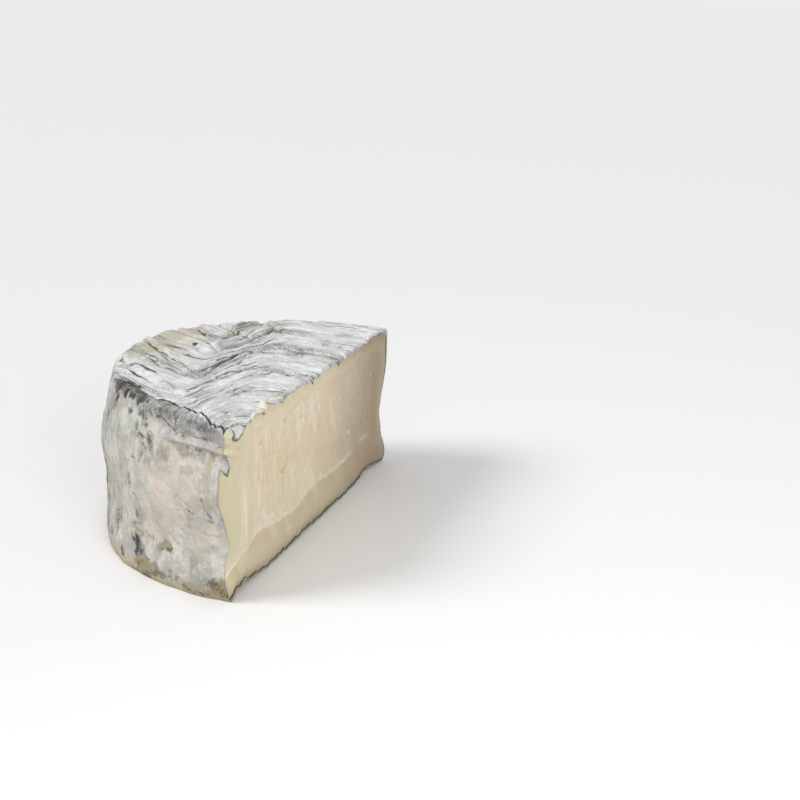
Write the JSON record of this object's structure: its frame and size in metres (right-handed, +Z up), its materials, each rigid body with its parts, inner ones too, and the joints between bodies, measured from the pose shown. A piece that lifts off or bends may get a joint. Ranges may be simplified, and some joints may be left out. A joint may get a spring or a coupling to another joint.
{
  "type": "half cheese wheel",
  "caption": "Half of a soft-ripened cheese wheel with a wrinkled ash rind, standing on its base with its creamy cut face showing.",
  "frame": {"origin": "middle of the base's bounding rectangle, on the surface that the cheese stands on", "axes": "+Z up out of the base, +X along the cut, and the cut face looks along -Y"},
  "size_m": [0.1504, 0.083, 0.0644],
  "materials": {
    "rind": "matte white and grey-blue bloom over dark ash, with tan patches",
    "paste": "moist cream, smooth and faintly translucent, with a softer band under the rind"
  },
  "bodies": {
    "root": {"half_wheel": "rind"}
  },
  "joints": []
}
